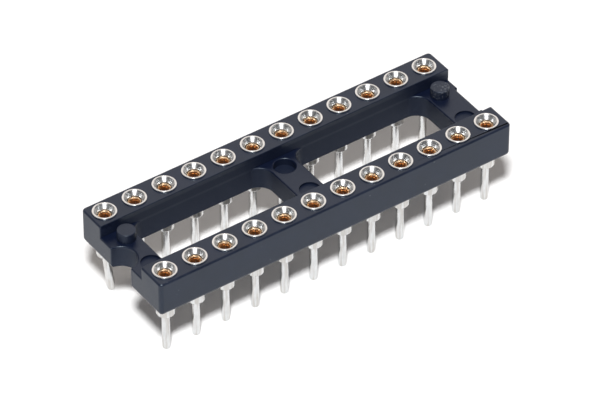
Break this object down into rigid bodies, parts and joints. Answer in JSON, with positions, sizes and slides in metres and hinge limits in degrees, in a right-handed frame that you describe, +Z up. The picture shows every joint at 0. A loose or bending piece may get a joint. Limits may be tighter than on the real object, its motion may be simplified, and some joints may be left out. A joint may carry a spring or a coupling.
{
  "type": "integrated circuit socket",
  "caption": "Open-frame dual-in-line socket: a black moulded ladder frame with rows of turned metal sleeves, each with a dished mouth, an inner spring clip and a round solder leg.",
  "frame": {"origin": "middle of the grid of contacts, on the plane of the collars' feet, where the circuit board's face is", "axes": "+X along the rows, from the end with the half-round notch to the other end; +Y from the row with contact 1 to the row with contact 24; +Z up, out of the board, towards the mouths"},
  "size_m": [0.0305, 0.01, 0.0074],
  "materials": {
    "housing": "moulded glass-filled thermoplastic, near black, matt",
    "sleeve": "turned brass with a satin tin plating",
    "clip": "spring alloy with a bright gold plating"
  },
  "bodies": {
    "root": {"body": "housing", "sleeve_01": "sleeve", "sleeve_02": "sleeve", "sleeve_03": "sleeve", "sleeve_04": "sleeve", "sleeve_05": "sleeve", "sleeve_06": "sleeve", "sleeve_07": "sleeve", "sleeve_08": "sleeve", "sleeve_09": "sleeve", "sleeve_10": "sleeve", "sleeve_11": "sleeve", "sleeve_12": "sleeve", "sleeve_13": "sleeve", "sleeve_14": "sleeve", "sleeve_15": "sleeve", "sleeve_16": "sleeve", "sleeve_17": "sleeve", "sleeve_18": "sleeve", "sleeve_19": "sleeve", "sleeve_20": "sleeve", "sleeve_21": "sleeve", "sleeve_22": "sleeve", "sleeve_23": "sleeve", "sleeve_24": "sleeve", "clip_01": "clip", "clip_02": "clip", "clip_03": "clip", "clip_04": "clip", "clip_05": "clip", "clip_06": "clip", "clip_07": "clip", "clip_08": "clip", "clip_09": "clip", "clip_10": "clip", "clip_11": "clip", "clip_12": "clip", "clip_13": "clip", "clip_14": "clip", "clip_15": "clip", "clip_16": "clip", "clip_17": "clip", "clip_18": "clip", "clip_19": "clip", "clip_20": "clip", "clip_21": "clip", "clip_22": "clip", "clip_23": "clip", "clip_24": "clip"}
  },
  "joints": []
}
